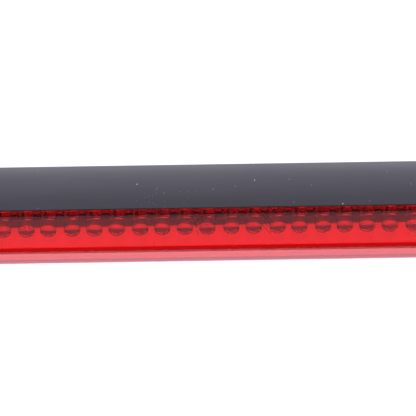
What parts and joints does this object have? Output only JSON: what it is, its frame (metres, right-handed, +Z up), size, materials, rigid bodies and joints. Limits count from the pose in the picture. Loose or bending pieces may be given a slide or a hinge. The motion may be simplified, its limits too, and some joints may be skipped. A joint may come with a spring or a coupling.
{
  "type": "third brake light",
  "caption": "Long slim high-mount brake light: black curved hood over a clear red lens with a row of LEDs, tilting between two end brackets.",
  "frame": {"origin": "on the mounting surface, midway between the two brackets and straight below the tilt axis", "axes": "+X along the bar, towards its right-hand end seen from behind the vehicle; -Y the way the light shines; +Z up from the mounting surface"},
  "size_m": [0.41, 0.035, 0.0328],
  "materials": {
    "housing_plastic": "satin extruded black",
    "lens_acrylic": "clear red, polished",
    "board_laminate": "phenolic paper laminate, bare",
    "solder": "bright solder",
    "resistor_ceramic": "glazed",
    "diode_epoxy": "moulded",
    "cap_plastic": "moulded, fine texture",
    "gasket_rubber": "soft foam rubber",
    "screw_steel": "zinc plated",
    "insert_brass": "turned",
    "inlet_plastic": "moulded",
    "blade_brass": "tinned brass",
    "wire_red": "PVC insulation",
    "wire_black": "PVC insulation",
    "bracket_plastic": "moulded, fine texture",
    "pad_foam": "closed-cell foam tape",
    "washer_nylon": "natural nylon",
    "knob_plastic": "moulded, semi-gloss",
    "stud_steel": "zinc plated",
    "led_epoxy": "clear epoxy",
    "lead_frame_metal": "silver plated"
  },
  "bodies": {
    "mount": {"bracket_left": "bracket_plastic", "adhesive_pad_left": "pad_foam", "friction_washer_left": "washer_nylon", "bracket_right": "bracket_plastic", "adhesive_pad_right": "pad_foam", "friction_washer_right": "washer_nylon"},
    "lamp": {"housing": "housing_plastic", "lens": "lens_acrylic", "circuit_board": "board_laminate", "solder_joints": "solder", "resistors": "resistor_ceramic", "polarity_diode": "diode_epoxy", "end_cap_left": "cap_plastic", "end_cap_right": "cap_plastic", "end_gasket_left": "gasket_rubber", "end_gasket_right": "gasket_rubber", "end_cap_screws": "screw_steel", "pivot_insert_left": "insert_brass", "pivot_insert_right": "insert_brass", "plug_inlet": "inlet_plastic", "inlet_seal": "gasket_rubber", "terminal_blade_positive": "blade_brass", "terminal_blade_negative": "blade_brass", "feed_wire_positive": "wire_red", "feed_wire_negative": "wire_black", "led_string_01": "led_epoxy", "led_string_02": "led_epoxy", "led_string_03": "led_epoxy", "led_string_04": "led_epoxy", "led_string_05": "led_epoxy", "led_string_06": "led_epoxy", "led_string_07": "led_epoxy", "led_string_08": "led_epoxy", "led_string_09": "led_epoxy", "led_string_10": "led_epoxy", "led_string_11": "led_epoxy", "led_string_12": "led_epoxy", "lead_frames_01": "lead_frame_metal", "lead_frames_02": "lead_frame_metal", "lead_frames_03": "lead_frame_metal", "lead_frames_04": "lead_frame_metal", "lead_frames_05": "lead_frame_metal", "lead_frames_06": "lead_frame_metal", "lead_frames_07": "lead_frame_metal", "lead_frames_08": "lead_frame_metal", "lead_frames_09": "lead_frame_metal", "lead_frames_10": "lead_frame_metal", "lead_frames_11": "lead_frame_metal", "lead_frames_12": "lead_frame_metal"},
    "knob_left": {"wing_knob_left": "knob_plastic", "knob_stud_left": "stud_steel"},
    "knob_right": {"wing_knob_right": "knob_plastic", "knob_stud_right": "stud_steel"}
  },
  "joints": [
    {"name": "lamp_tilt", "type": "hinge", "parent": "mount", "child": "lamp", "pos_m": [0, 0, 0.021], "axis": [1, 0, 0], "range_deg": [-60, 60]},
    {"name": "knob_left_turn", "type": "hinge", "parent": "mount", "child": "knob_left", "pos_m": [-0.185, 0, 0.021], "axis": [-1, 0, 0], "range_deg": [0, 270]},
    {"name": "knob_right_turn", "type": "hinge", "parent": "mount", "child": "knob_right", "pos_m": [0.185, 0, 0.021], "axis": [1, 0, 0], "range_deg": [0, 270]}
  ]
}
